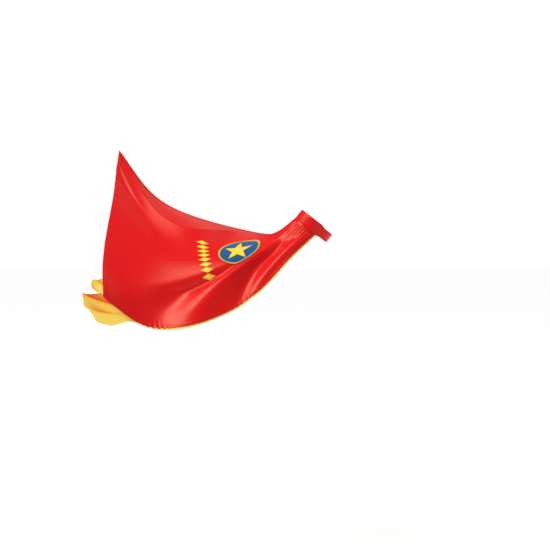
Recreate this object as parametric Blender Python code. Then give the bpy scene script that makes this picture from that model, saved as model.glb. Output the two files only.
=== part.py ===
"""A child's superhero cape held out in flight: a neckband with a hook-and-loop throat closure, a satin outer,
a lining with one loose corner, and an appliqued badge.

Frame: the origin is the centre of the neck opening, +X the way the wearer flies, +Y the wearer's left, +Z up.
Lengths are in metres. Angles round the neck are in degrees from the nape, growing towards the wearer's right.
The cape's surface has two parameters: s runs from the neck seam (0) to the hem (1), and t runs from the
right edge (-1) to the left edge (1)."""

import bpy
import numpy as np

# Neckband
NECK_RADIUS = 0.055
NECK_TILT = np.radians(52)
BAND_HEIGHT = 0.038
CLOSURE_HEIGHT = 0.030
SEAM_END = 106.0
STRAP_END = 157.0
TAB_END = 208.0
STRAP_RISE = 0.0071
RISE_END = 148.0

# Cloth layers, measured outwards from the neck radius or up from the cape's surface
CLOTH = 0.0008
STIFFENER = 0.0010
GAP = 0.0003
PATCH = 0.0015
LAYER_LIFT = 0.0007
APPLIQUE_GAP = 0.0008

# Cape
SHARES = np.array([-1.0, -0.5, 0.0, 0.5, 1.0])
STATIONS = np.array([0.0, 0.13, 0.30, 0.50, 0.75, 1.0])
RIBS = np.array(
    [
        [(-0.070, -0.105, -0.090), (-0.100, -0.068, -0.052), (-0.122, -0.010, -0.030),
         (-0.112, 0.055, -0.022), (-0.088, 0.110, -0.032)],
        [(-0.158, -0.150, -0.180), (-0.195, -0.115, -0.122), (-0.225, -0.055, -0.074),
         (-0.225, 0.045, -0.040), (-0.200, 0.150, -0.022)],
        [(-0.280, -0.170, -0.258), (-0.306, -0.135, -0.170), (-0.330, -0.070, -0.092),
         (-0.345, 0.050, -0.020), (-0.355, 0.170, 0.018)],
        [(-0.450, -0.180, -0.296), (-0.475, -0.120, -0.185), (-0.490, -0.030, -0.078),
         (-0.505, 0.100, 0.026), (-0.517, 0.220, 0.096)],
        [(-0.620, -0.200, -0.217), (-0.638, -0.095, -0.115), (-0.640, 0.020, -0.005),
         (-0.637, 0.150, 0.112), (-0.640, 0.272, 0.240)],
    ]
)
SHOULDER = (0.015, 0.192)
PANEL = (0.212, 1.0)
LINING_SHOW = 0.014
FLARE_OUT = np.array([-0.058, 0.010, 0.004])
FLARE_DROP = np.array([-0.004, 0.018, -0.052])

# Joints
PANEL_HINGE = (-0.143, 0.0, -0.060)
LABEL_SEAM = 0.010

# Badge and the row of lozenges below it
BADGE_AT = (0.312, 0.0)
BADGE_HALF_LONG = 0.070
BADGE_HALF_WIDE = 0.058
RIM_WIDTH = 0.10
LOZENGES = 8
LOZENGE_PITCH = 0.0215
LOZENGE_HALF_LONG = 0.019
LOZENGE_HALF_WIDE = 0.0090
LOZENGE_ROW_S = 0.505

RED = (0.76, 0.012, 0.018)
YELLOW = (0.90, 0.60, 0.10)
BLUE = (0.02, 0.09, 0.30)
GOLD = (0.93, 0.66, 0.05)
WHITE = (0.85, 0.85, 0.82)
BLACK = (0.03, 0.03, 0.035)

AXIS = np.array([np.cos(NECK_TILT), 0.0, np.sin(NECK_TILT)])
NAPE = np.array([-np.sin(NECK_TILT), 0.0, np.cos(NECK_TILT)])
RIGHT = np.array([0.0, -1.0, 0.0])


def clear_scene():
    for old in list(bpy.data.objects):
        bpy.data.objects.remove(old)


def material(name, colour, roughness):
    """A plain finish for one piece."""
    made = bpy.data.materials.new(name)
    made.use_nodes = True
    shader = made.node_tree.nodes["Principled BSDF"]
    shader.inputs["Base Color"].default_value = (*colour, 1.0)
    shader.inputs["Roughness"].default_value = roughness
    shader.inputs["Metallic"].default_value = 0.0
    return made


def smooth_step(value, low, high):
    """0 below low, 1 above high, and a smooth S between them."""
    share = np.clip((value - low) / (high - low), 0.0, 1.0)
    return share * share * (3 - 2 * share)


def spline(knots, values, at):
    """Natural cubic spline through values, one for each knot, read at each number of at."""
    count = len(knots)
    steps = np.diff(knots)
    flat = values.reshape(count, -1)
    slopes = np.diff(flat, axis=0) / steps[:, None]
    system = np.eye(count)
    right = np.zeros_like(flat)
    for i in range(1, count - 1):
        system[i, i - 1 : i + 2] = steps[i - 1], 2 * (steps[i - 1] + steps[i]), steps[i]
        right[i] = 6 * (slopes[i] - slopes[i - 1])
    bend = np.linalg.solve(system, right)
    i = np.clip(np.searchsorted(knots, at, side="right") - 1, 0, count - 2)
    step = steps[i][:, None]
    done = (at - knots[i])[:, None]
    left = step - done
    found = (bend[i] * left**3 + bend[i + 1] * done**3) / (6 * step)
    found += (flat[i] / step - bend[i] * step / 6) * left
    found += (flat[i + 1] / step - bend[i + 1] * step / 6) * done
    return found.reshape(len(at), *values.shape[1:])


def ring(degrees, radius, along):
    """Points round the neck at these angles, this far from the neck's axis and this far along it."""
    turn = np.radians(np.asarray(degrees, float))[..., None]
    radius = np.asarray(radius, float)[..., None]
    along = np.asarray(along, float)[..., None]
    return radius * (np.cos(turn) * NAPE + np.sin(turn) * RIGHT) + along * AXIS


def cape_grid(s, t):
    """The cape's surface and its upward normals on a grid: a spline across each rib, then one along the ribs."""
    seam = ring(-t * SEAM_END, NECK_RADIUS + 0.004, -BAND_HEIGHT / 2 - 0.001)
    across = np.array([seam] + [spline(SHARES, rib, t) for rib in RIBS])
    points = spline(STATIONS, across, s)
    normals = np.cross(np.gradient(points, axis=1), np.gradient(points, axis=0))
    return points, normals / np.linalg.norm(normals, axis=-1, keepdims=True)


def cape_points(s, t):
    """The surface and its normals at pairs of s and t, from a small cross of neighbours."""
    nudge = 0.004
    found = []
    for one_s, one_t in zip(np.ravel(s), np.ravel(t)):
        points, normals = cape_grid(
            one_s + nudge * np.array([-1.0, 0.0, 1.0]), one_t + nudge * np.array([-1.0, 0.0, 1.0])
        )
        found.append((points[1, 1], normals[1, 1]))
    found = np.array(found)
    return found[:, 0].reshape(*np.shape(s), 3), found[:, 1].reshape(*np.shape(s), 3)


def empty(name, place):
    """A joint's pivot, for the pieces that turn with it."""
    made = bpy.data.objects.new(name, None)
    made.location = place
    bpy.context.collection.objects.link(made)
    bpy.context.view_layer.update()
    return made


def hang_on(obj, parent):
    """Parents the object without moving it."""
    if parent is not None:
        obj.parent = parent
        obj.matrix_parent_inverse = parent.matrix_world.inverted()


def sheet(name, points, thickness, finish, parent=None, closed=False, filled=False):
    """A grid of points given a thickness, half to each side. A closed grid joins its last column to its first,
    and one face fills the first row of a filled grid."""
    rows, columns = points.shape[:2]
    index = np.arange(rows * columns).reshape(rows, columns)
    if closed:
        index = np.hstack([index, index[:, :1]])
    quads = np.stack([index[:-1, :-1], index[:-1, 1:], index[1:, 1:], index[1:, :-1]], axis=-1)
    faces = quads.reshape(-1, 4).tolist()
    if filled:
        faces.append(list(range(columns))[::-1])
    mesh = bpy.data.meshes.new(name)
    mesh.from_pydata(points.reshape(-1, 3).tolist(), [], faces)
    mesh.materials.append(finish)
    mesh.shade_smooth()
    mesh.set_sharp_from_angle(angle=np.radians(40))
    obj = bpy.data.objects.new(name, mesh)
    bpy.context.collection.objects.link(obj)
    wall = obj.modifiers.new("cloth", "SOLIDIFY")
    wall.thickness = thickness
    wall.offset = 0.0
    hang_on(obj, parent)
    return obj


def thread(name, points, finish, parent=None, cyclic=False, radius=0.0005):
    """A line of sewing thread through the points."""
    curve = bpy.data.curves.new(name, "CURVE")
    curve.dimensions = "3D"
    curve.bevel_depth = radius
    curve.bevel_resolution = 0
    curve.use_fill_caps = not cyclic
    line = curve.splines.new("POLY")
    line.points.add(len(points) - 1)
    line.points.foreach_set("co", np.hstack([points, np.ones((len(points), 1))]).ravel())
    line.use_cyclic_u = cyclic
    curve.materials.append(finish)
    obj = bpy.data.objects.new(name, curve)
    bpy.context.collection.objects.link(obj)
    hang_on(obj, parent)
    return obj


def band_height(degrees):
    """The band is full height along the seam and narrower at both closure ends."""
    share = smooth_step(np.abs(degrees), SEAM_END, SEAM_END + 20)
    return BAND_HEIGHT + share * (CLOSURE_HEIGHT - BAND_HEIGHT)


def band_rise(degrees):
    """How far the strap lifts, so that it passes outside the other end."""
    return STRAP_RISE * smooth_step(degrees, SEAM_END, RISE_END)


def strip(name, start, end, lift, thickness, finish, parent=None, inset=0.0):
    """A strip of cloth bent round the neck, its inner face lift outside the neck radius."""
    degrees = np.linspace(start, end, max(int(abs(end - start) / 5), 4))
    across = np.array([-0.5, 0.0, 0.5])
    radius = NECK_RADIUS + lift + thickness / 2 + band_rise(degrees)
    along = (band_height(degrees) - 2 * inset)[:, None] * across
    points = ring(degrees[:, None] + 0 * along, radius[:, None] + 0 * along, along)
    return sheet(name, points, thickness, finish, parent)


def band_thread(name, start, end, share, lift, finish, parent=None):
    """Thread round the band at a share of its height, 0 being the middle and 1 the upper edge."""
    degrees = np.linspace(start, end, int((end - start) / 6))
    along = share * band_height(degrees) / 2
    return thread(name, ring(degrees, NECK_RADIUS + lift + band_rise(degrees), along), finish, parent)


def frame_thread(name, start, end, lift, finish, parent=None):
    """A rectangle of thread round a closure patch."""
    half = CLOSURE_HEIGHT / 2 - 0.005
    long_way = np.linspace(start, end, 9)
    degrees = np.concatenate([long_way, long_way[::-1]])
    along = np.repeat([half, -half], len(long_way))
    rise = band_rise(degrees)
    return thread(name, ring(degrees, NECK_RADIUS + lift + rise, along), finish, parent, cyclic=True)


def layer_lifts():
    """Where each layer of the band starts, outwards from the neck radius."""
    facing = 0.0
    stiffener = facing + CLOTH + GAP
    outer = stiffener + STIFFENER + GAP
    return facing, stiffener, outer, outer + CLOTH


def make_neckband():
    """The band's three layers, its rows of stitches and the loop patch on its left end."""
    facing, stiffener, outer, top = layer_lifts()
    strip("neckband_facing", -TAB_END, SEAM_END, facing, CLOTH, material("facing_satin", YELLOW, 0.5))
    strip(
        "neckband_interfacing", -TAB_END + 2, SEAM_END - 0.8, stiffener, STIFFENER,
        material("interfacing_felt", WHITE, 0.9), inset=0.002,
    )
    strip("neckband_outer", -TAB_END, SEAM_END, outer, CLOTH, material("band_satin", RED, 0.42))
    red_thread = material("band_thread", RED, 0.6)
    band_thread("neckband_top_stitching", -SEAM_END - 40, SEAM_END - 2, 0.8, top + 0.001, red_thread)
    band_thread("neckband_seam_stitching", -SEAM_END, SEAM_END - 2, -0.8, top + 0.001, red_thread)
    strip(
        "loop_patch", -TAB_END + 3, -SEAM_END - 52, top + GAP, PATCH,
        material("loop_pile", RED, 0.95), inset=0.003,
    )
    frame_thread("loop_patch_stitching", -TAB_END + 5, -SEAM_END - 54, -0.001, red_thread)


def make_bar_tacks():
    """A short dense bar of stitches where each closure end leaves the cape's front corner."""
    finish = material("tack_thread", RED, 0.6)
    top = layer_lifts()[3]
    for name, at in (("bar_tack_right", SEAM_END - 7), ("bar_tack_left", -SEAM_END - 4)):
        degrees = at + np.array([-1.2, 0.0, 1.2])
        along = np.linspace(-0.010, 0.010, 5)
        points = ring(degrees[:, None] + 0 * along, NECK_RADIUS + top + 0.0010, along + 0 * degrees[:, None])
        sheet(name, points, 0.0010, finish)


def make_closure_strap(hinge):
    """The right end of the band, which laps round outside the left end."""
    facing, stiffener, outer, _ = layer_lifts()
    start = SEAM_END + 0.6
    strip("strap_facing", start, STRAP_END, facing, CLOTH, material("strap_facing_satin", YELLOW, 0.5), hinge)
    strip(
        "strap_interfacing", start, STRAP_END, stiffener, STIFFENER,
        material("strap_felt", WHITE, 0.9), hinge, inset=0.002,
    )
    strip("strap_outer", start, STRAP_END, outer, CLOTH, material("strap_satin", RED, 0.42), hinge)


def make_closure_tab(hinge):
    """The strap's thinner end, which carries the hook patch on its inner face."""
    facing = layer_lifts()[0]
    start = STRAP_END + 0.6
    strip("tab_facing", start, TAB_END, facing, CLOTH, material("tab_facing_satin", YELLOW, 0.5), hinge)
    strip("tab_outer", start, TAB_END, facing + CLOTH + GAP, CLOTH, material("tab_satin", RED, 0.42), hinge)
    strip(
        "hook_patch", start + 3, TAB_END - 3, -PATCH - GAP, PATCH,
        material("hook_tape", BLACK, 0.7), hinge, inset=0.003,
    )
    tab_top = facing + 2 * CLOTH + GAP
    frame_thread(
        "hook_patch_stitching", start + 5, TAB_END - 5, tab_top + 0.001,
        material("tab_thread", RED, 0.6), hinge,
    )


def make_outer(hinge):
    """The outer satin in two pieces, parted at the hinge across the shoulders."""
    satin = material("cape_satin", RED, 0.35)
    across = np.linspace(-1, 1, 27)
    for name, (start, end), rows, parent in (
        ("outer_shoulder", SHOULDER, 7, None),
        ("outer_panel", PANEL, 27, hinge),
    ):
        points, normals = cape_grid(np.linspace(start, end, rows), across)
        sheet(name, points + LAYER_LIFT * normals, CLOTH, satin, parent)


def lining_grid(s, t):
    """The lining lies under the outer, and leaves it at the hem's right corner, where it flares and falls."""
    points, normals = cape_grid(s, t)
    tail = smooth_step(s, 0.80, 1.0)[:, None]
    corner = smooth_step(-t, 0.62, 0.84)
    drop = smooth_step(-t, 0.60, 1.0)
    ruffle = np.sin(26 * t) * 0.010 * tail * corner
    points = points - (LAYER_LIFT + 0.004 * tail * drop)[..., None] * normals
    points = points + (tail * corner)[..., None] * FLARE_OUT + (tail * drop)[..., None] * FLARE_DROP
    return points - np.maximum(ruffle, 0.0)[..., None] * normals


def make_lining(hinge):
    """The lining in two pieces. Its columns crowd towards the right edge and its rows towards the hem."""
    satin = material("lining_satin", YELLOW, 0.45)
    share = np.linspace(0, 1, 35)
    across = -1 - LINING_SHOW + (2 + LINING_SHOW) * share**1.25
    for name, (start, end), rows, parent in (
        ("lining_shoulder", SHOULDER, 7, None),
        ("lining_panel", PANEL, 29, hinge),
    ):
        share = np.linspace(0, 1, rows)
        along = start + (end - start) * (1 - (1 - share) ** 1.15)
        sheet(name, lining_grid(along, across), CLOTH, satin, parent)


def make_edge_stitching(hinge):
    """A row of thread along each side edge and along the hem."""
    finish = material("edge_thread", RED, 0.6)
    along = np.linspace(PANEL[0] + 0.01, PANEL[1] - 0.02, 34)
    across = np.linspace(-0.96, 0.96, 34)
    side = np.full_like(along, 0.972)
    for name, s, t in (
        ("right_edge_stitching", along, -side),
        ("left_edge_stitching", along, side),
        ("hem_stitching", np.full_like(across, 0.986), across),
    ):
        points, normals = cape_points(s, t)
        thread(name, points + 0.0026 * normals, finish, hinge)


def motif(name, centre, long_way, wide_way, lift, thickness, finish, parent, inner=0.0, rings=4):
    """A flat shape laid on the cape: its outline, shrunk in even steps towards the centre, makes the grid.
    long_way runs up towards the neck and wide_way runs towards the left edge, both in metres."""
    nudge = np.array([-0.01, 0.01])
    points, _ = cape_grid(centre[0] + nudge, centre[1] + nudge)
    per_s = np.linalg.norm(points[1, 0] - points[0, 0]) / np.ptp(nudge)
    share = np.linspace(max(inner, 0.04), 1.0, rings)[:, None]
    s = centre[0] - share * long_way / per_s
    points, _ = cape_grid(s.ravel(), centre[1] + nudge)
    per_t = np.linalg.norm(points[:, 1] - points[:, 0], axis=-1).reshape(s.shape) / np.ptp(nudge)
    points, normals = cape_points(s, centre[1] + share * wide_way / per_t)
    points = points + (lift + thickness / 2) * normals
    return sheet(name, points, thickness, finish, parent, closed=True, filled=not inner)


def make_badge(hinge):
    """An oval disc, a rim sewn on it, a five-pointed star and the rim's close stitching."""
    turn = np.linspace(0, 2 * np.pi, 36, endpoint=False)
    long_way = BADGE_HALF_LONG * np.cos(turn)
    wide_way = BADGE_HALF_WIDE * np.sin(turn)
    gold = material("badge_gold", GOLD, 0.6)
    blue = material("badge_blue", BLUE, 0.6)
    base_lift = LAYER_LIFT + CLOTH / 2 + APPLIQUE_GAP
    trim_lift = base_lift + CLOTH + 0.0005
    motif("badge_base", BADGE_AT, long_way, wide_way, base_lift, CLOTH, blue, hinge)
    motif(
        "badge_rim", BADGE_AT, long_way, wide_way, trim_lift, CLOTH, gold, hinge,
        inner=1 - RIM_WIDTH, rings=3,
    )
    points = np.arange(10)
    reach = np.where(points % 2 == 0, 0.046, 0.019)
    corner = np.pi * points / 5
    star_long = reach * np.cos(corner)
    star_wide = reach * np.sin(corner)
    motif("badge_star", BADGE_AT, halved(star_long), halved(star_wide), trim_lift, CLOTH, gold, hinge)


def halved(loop):
    """The numbers of a closed loop with the middle of each step put between them."""
    between = (loop + np.roll(loop, -1)) / 2
    return np.stack([loop, between], axis=1).ravel()


def make_lozenges(hinge):
    """A row of lozenges below the badge, an even pitch apart along the cloth."""
    finish = material("lozenge_gold", GOLD, 0.6)
    lift = LAYER_LIFT + CLOTH / 2 + APPLIQUE_GAP
    long_way = halved(LOZENGE_HALF_LONG * np.array([1.0, 0.0, -1.0, 0.0]))
    wide_way = halved(LOZENGE_HALF_WIDE * np.array([0.0, 1.0, 0.0, -1.0]))
    offsets = LOZENGE_PITCH * (np.arange(LOZENGES) - (LOZENGES - 1) / 2)
    for number, t in enumerate(across_at(LOZENGE_ROW_S, offsets)):
        motif(
            f"lozenge_{number + 1}", (LOZENGE_ROW_S, t), long_way, wide_way, lift, CLOTH, finish, hinge,
            rings=3,
        )


def across_at(s, offsets):
    """The t of points at these distances along the rib from the cape's middle."""
    t = np.linspace(-1, 1, 201)
    rib = cape_grid(np.array([s, s + 0.01]), t)[0][0]
    length = np.append(0.0, np.cumsum(np.linalg.norm(np.diff(rib, axis=0), axis=1)))
    return np.interp(offsets, length - length[100], t)


def make_label(hinge):
    """A blank care label that hangs inside the nape, under the lining."""
    width = np.linspace(-0.011, 0.011, 5)
    length = np.linspace(0.0, 0.024, 5)
    start = ring(0.0, NECK_RADIUS - 0.0020, -BAND_HEIGHT / 2 + LABEL_SEAM)
    points = start + length[:, None, None] * -AXIS + width[:, None] * RIGHT
    sheet("care_label", points, 0.0005, material("label_satin", WHITE, 0.5), hinge)


def main():
    clear_scene()
    top = layer_lifts()[3]
    panel_hinge = empty("panel_hinge", PANEL_HINGE)
    strap_hinge = empty("strap_hinge", ring(SEAM_END + 0.3, NECK_RADIUS + top + 0.0005, 0.0))
    tab_hinge = empty("tab_hinge", ring(STRAP_END + 0.3, NECK_RADIUS + STRAP_RISE + top + 0.0005, 0.0))
    label_hinge = empty("label_hinge", ring(0.0, NECK_RADIUS - 0.0016, -BAND_HEIGHT / 2 + LABEL_SEAM))
    make_neckband()
    make_bar_tacks()
    make_closure_strap(strap_hinge)
    make_closure_tab(tab_hinge)
    make_outer(panel_hinge)
    make_lining(panel_hinge)
    make_edge_stitching(panel_hinge)
    make_badge(panel_hinge)
    make_lozenges(panel_hinge)
    make_label(label_hinge)


if __name__ == "__main__":
    main()
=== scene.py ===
"""Superhero cape add-on: a lined satin cape, a neckband with a hook-and-loop closure, and a sewn badge.

It is run as a script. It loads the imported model, makes the cloth, thread and trim round it, and sets the
stage. The cape's surface has two parameters: s runs from the neck seam (0) to the hem (1), and t from the
wearer's right edge (-1) to the left edge (1). Angles round the neck are in degrees from the nape, towards
the wearer's right."""

import functools

import bmesh
import bpy
import numpy as np
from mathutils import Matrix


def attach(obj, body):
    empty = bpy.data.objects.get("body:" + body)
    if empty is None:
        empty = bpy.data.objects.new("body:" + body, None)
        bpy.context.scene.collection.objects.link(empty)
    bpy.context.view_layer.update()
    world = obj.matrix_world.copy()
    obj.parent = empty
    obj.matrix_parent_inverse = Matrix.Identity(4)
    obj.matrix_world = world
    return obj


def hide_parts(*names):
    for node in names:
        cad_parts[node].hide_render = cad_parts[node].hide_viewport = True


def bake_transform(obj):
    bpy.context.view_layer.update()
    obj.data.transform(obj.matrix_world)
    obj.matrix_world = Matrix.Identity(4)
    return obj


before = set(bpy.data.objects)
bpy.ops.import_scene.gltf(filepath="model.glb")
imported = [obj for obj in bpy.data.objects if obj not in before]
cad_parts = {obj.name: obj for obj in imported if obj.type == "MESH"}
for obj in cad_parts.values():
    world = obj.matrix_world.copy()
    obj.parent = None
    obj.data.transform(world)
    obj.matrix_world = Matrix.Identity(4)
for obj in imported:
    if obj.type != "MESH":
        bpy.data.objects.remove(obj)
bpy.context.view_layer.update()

bl_info = {
    "name": "Superhero cape",
    "version": (1, 0, 0),
    "blender": (4, 5, 0),
    "location": "View3D > Sidebar > Cape",
    "description": "Makes a child's satin cape, its neckband, closure, badge and stitching",
    "category": "Add Mesh",
}

# The neck loop and the cape's ribs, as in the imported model, but with the hem's right corner a little higher
NECK_RADIUS = 0.055
NECK_TILT = np.radians(52)
BAND_HEIGHT = 0.038
CLOSURE_HEIGHT = 0.030
SEAM_END = 106.0
STRAP_END = 157.0
TAB_END = 208.0
STRAP_RISE = 0.0071
RISE_END = 148.0
CLOTH = 0.0008
LAYER_LIFT = 0.0007
SHARES = np.array([-1.0, -0.5, 0.0, 0.5, 1.0])
STATIONS = np.array([0.0, 0.13, 0.30, 0.50, 0.75, 1.0])
RIBS = np.array(
    [
        [(-0.070, -0.105, -0.090), (-0.100, -0.068, -0.052), (-0.122, -0.010, -0.030),
         (-0.112, 0.055, -0.022), (-0.088, 0.110, -0.032)],
        [(-0.158, -0.150, -0.180), (-0.195, -0.115, -0.122), (-0.225, -0.055, -0.074),
         (-0.225, 0.045, -0.040), (-0.200, 0.150, -0.022)],
        [(-0.280, -0.170, -0.258), (-0.306, -0.135, -0.170), (-0.330, -0.070, -0.092),
         (-0.345, 0.050, -0.020), (-0.355, 0.170, 0.018)],
        [(-0.450, -0.180, -0.296), (-0.475, -0.120, -0.185), (-0.490, -0.030, -0.078),
         (-0.505, 0.100, 0.026), (-0.517, 0.220, 0.096)],
        [(-0.621, -0.197, -0.203), (-0.638, -0.095, -0.111), (-0.640, 0.020, -0.005),
         (-0.637, 0.150, 0.112), (-0.640, 0.272, 0.240)],
    ]
)

# The grid of the cape's surface, and how far above the neck seam it starts, as a share of the cape's length
LATTICE_S = 236
LATTICE_T = 200
TUCK = -0.0075

# The lining: how far its grid goes past the right edge, the piping there, and two folds of the loose corner
LINING_SHOW = 0.014
RIGHT_PIPING = 0.0042
MOUTH_T = -0.863
PLEAT_T = -0.925

# Gathers across the cape, puckers along the right edge and over half the hem, and half waves of the scallops
GATHERS = 24
EDGE_PUCKERS = 44
HEM_PUCKERS = 13
SCALLOPS = 46

# Where the cape bends behind the shoulders
BLEND_START = (-0.085, 0.0, -0.030)
BLEND_END = (-0.215, 0.0, -0.075)

# Stitches: the share of the pitch that is thread, the rows' places, and the sizes of close stitches
THREAD_SHARE = 0.72
SIDE_ROW_T = 0.962
HEM_ROW_S = 0.983
BAND_ROW = 0.8
PATCH_ROW = 0.70
EDGING_PITCH = 0.0011
EDGING_RADIUS = 0.00045
TACK_RADIUS = 0.00034

# The band's cover: its lift at the edges and its crown, and where its right end opens for the strap
COVER_LIFT = 0.0012
COVER_CROWN = 0.0017
OPENING = (95, 101)

# The strips round the neck have a row every so many degrees, with this many points over their height
STRIP_STEP = 1.2
STRIP_POINTS = 41

# How far outside the neck radius the hooks and the pile stand, and the label's half width and length
HOOK_FOOT = -0.0009
PILE_FOOT = 0.0041
LABEL_HALF = 0.011
LABEL_LENGTH = 0.024

# The badge's place (s, t) and half sizes, its star's points and notches, and the row of lozenges
BADGE_AT = (0.312, 0.0)
BADGE_HALF_LONG = 0.070
BADGE_HALF_WIDE = 0.058
STAR_REACH = 0.046
STAR_NOTCH = 0.0185
LOZENGES = 8
LOZENGE_PITCH = 0.0215
LOZENGE_HALF_LONG = 0.019
LOZENGE_HALF_WIDE = 0.0090
LOZENGE_ROW_S = 0.505

# Tints of the satins' shine, the lining's painted shade colour (an orange red that stands for shade and red
# bounce light in its folds), and the weave's sine steps
RED_GLINT = (1.0, 0.62, 0.38)
YELLOW_GLINT = (1.0, 0.90, 0.60)
YELLOW_ROUGHNESS = 0.42
SHADED_YELLOW = (0.70, 0.085, 0.012, 1)
THREADS_PER_METRE = 1600.0
THREAD_TURN = 6.2832
FLOAT_TURN = 1.2566

# The floor's half width, the camera's sensor in millimetres, and the place that the area lights face
FLOOR_HALF = 14.0
SENSOR = 36.0
LIT_CENTRE = (-0.35, 0.0, -0.05)

AXIS = np.array([np.cos(NECK_TILT), 0.0, np.sin(NECK_TILT)])
NAPE = np.array([-np.sin(NECK_TILT), 0.0, np.cos(NECK_TILT)])
RIGHT = np.array([0.0, -1.0, 0.0])


def length_setting(name, description, default):
    return bpy.props.FloatProperty(name=name, description=description, default=default, unit="LENGTH")


def colour_setting(name, description, default):
    return bpy.props.FloatVectorProperty(
        name=name, description=description, default=default, subtype="COLOR", min=0, max=1
    )


class CapeSizes(bpy.types.PropertyGroup):
    fold_depth: length_setting("Fold depth", "Height of the broad folds", 0.013)
    pucker_depth: length_setting("Pucker depth", "Height of the puckers along the seams", 0.0024)
    gather_depth: length_setting("Gather depth", "Height of the gathers under the neckband", 0.0017)
    stitch_pitch: length_setting("Stitch pitch", "From one stitch to the next", 0.0034)
    thread_radius: length_setting("Thread radius", "Radius of the sewing thread", 0.00032)


class CapeColours(bpy.types.PropertyGroup):
    red: colour_setting("Red", "Outer satin", (0.56, 0.004, 0.007))
    yellow: colour_setting("Yellow", "Lining satin", (0.74, 0.515, 0.062))
    blue: colour_setting("Blue", "Badge felt", (0.003, 0.062, 0.200))
    gold: colour_setting("Gold", "Badge trim and thread", (0.80, 0.53, 0.035))
    white: colour_setting("White", "Label and interfacing", (0.83, 0.82, 0.79))


class CapeStage(bpy.types.PropertyGroup):
    distance: length_setting("Camera distance", "From the camera to the neck", 3.4)
    elevation: bpy.props.FloatProperty(
        name="Camera elevation", description="Above the horizon", default=np.radians(4.0), subtype="ANGLE"
    )
    frame_width: length_setting("Frame width", "Width of the view at the neck's distance", 1.705)
    right_of_view: length_setting(
        "Neck right of centre", "How far right of the view's centre the neck is", 0.118
    )
    above_view: length_setting("Neck above centre", "How far above the view's centre the neck is", 0.152)
    floor: length_setting("Floor height", "Height of the floor below the neck", -1.05)


def sizes():
    return bpy.context.scene.cape_sizes


def colours():
    return bpy.context.scene.cape_colours


# ---------------------------------------------------------------- surfaces


def smooth_step(value, low, high):
    """0 below low, 1 above high, and 3x^2 - 2x^3 of the share x between them."""
    share = np.clip((value - low) / (high - low), 0.0, 1.0)
    return share * share * (3 - 2 * share)


def hump(value, centre, width):
    """A bell: e to the minus square of the distance from the centre over the width."""
    return np.exp(-(((value - centre) / width) ** 2))


def spline(knots, values, at):
    """Natural cubic spline through values, one for each knot, read at each number of at."""
    count = len(knots)
    steps = np.diff(knots)
    flat = values.reshape(count, -1)
    slopes = np.diff(flat, axis=0) / steps[:, None]
    system = np.eye(count)
    right = np.zeros_like(flat)
    for i in range(1, count - 1):
        system[i, i - 1 : i + 2] = steps[i - 1], 2 * (steps[i - 1] + steps[i]), steps[i]
        right[i] = 6 * (slopes[i] - slopes[i - 1])
    bend = np.linalg.solve(system, right)
    i = np.clip(np.searchsorted(knots, at, side="right") - 1, 0, count - 2)
    step = steps[i][:, None]
    done = (at - knots[i])[:, None]
    left = step - done
    found = (bend[i] * left**3 + bend[i + 1] * done**3) / (6 * step)
    found += (flat[i] / step - bend[i] * step / 6) * left
    found += (flat[i + 1] / step - bend[i + 1] * step / 6) * done
    return found.reshape(len(at), *values.shape[1:])


def ring(degrees, radius, along):
    """Round the neck: radius times (cosine towards the nape, sine towards the right), plus along times the
    axis."""
    turn = np.radians(np.asarray(degrees, float))[..., None]
    radius = np.asarray(radius, float)[..., None]
    along = np.asarray(along, float)[..., None]
    return radius * (np.cos(turn) * NAPE + np.sin(turn) * RIGHT) + along * AXIS


def unit(vectors):
    return vectors / np.maximum(np.linalg.norm(vectors, axis=-1, keepdims=True), 1e-12)


def grid_normals(points):
    """Up side of a grid: the step across crossed with the step along."""
    return unit(np.cross(np.gradient(points, axis=1), np.gradient(points, axis=0)))


def base_grid(s, t):
    """The cape without its folds: a cubic spline across each rib, then one along the ribs."""
    seam = ring(-t * SEAM_END, NECK_RADIUS + 0.004, -BAND_HEIGHT / 2 - 0.001)
    across = np.array([seam] + [spline(SHARES, rib, t) for rib in RIBS])
    return spline(STATIONS, across, s)


def along_line(at, knots, values):
    """A line through a few points, rounded at each by averaging it over a short reach."""
    reach = np.linspace(-0.04, 0.04, 9)
    return np.mean([np.interp(at + step, knots, values) for step in reach], axis=0)


def strip_fold(S, T, s):
    """The left strip turns up from a crease: over the crease's line across, the height falls away like e
    to the minus distance on both sides, and a shallow trough runs beside it."""
    crease = along_line(
        s, [0.30, 0.40, 0.475, 0.555, 0.635, 0.735, 0.81, 0.90, 1.0],
        [0.86, 0.62, 0.49, 0.44, 0.46, 0.58, 0.77, 0.92, 1.02],
    )[:, None]
    over = T - crease
    present = smooth_step(S, 0.26, 0.46) * (1 - 0.3 * smooth_step(S, 0.85, 1.0))
    return present * (np.exp(-np.abs(over) / 0.16) * hump(over, 0, 0.5) - 0.7 * hump(over, -0.30, 0.22))


def side_waves(S, T, t):
    """Waves that fan from under the badge to the right edge: a ridge along the main line, a trough on its
    hem side that rises slowly to the flat cloth, and a wide valley on its neck side. They fade towards the
    middle."""
    line = along_line(
        t, [-1.0, -0.8, -0.66, -0.52, -0.45, -0.34, -0.2], [0.725, 0.67, 0.61, 0.545, 0.48, 0.37, 0.22]
    )
    over = S - line[None, :]
    spread = 1.0 + 0.25 * smooth_step(-T, 0.4, 1.0)
    present = (1 - smooth_step(T, -0.50, -0.16)) * smooth_step(S, 0.02, 0.20)
    slow_side = np.where(over < 0.09, 0.085 * spread, 0.11 * spread)
    waves = 0.85 * hump(over, -0.085, 0.080 * spread) - 1.45 * hump(over, 0.09, slow_side)
    return present * (waves - 0.95 * hump(over, -0.31, 0.12))


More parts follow.
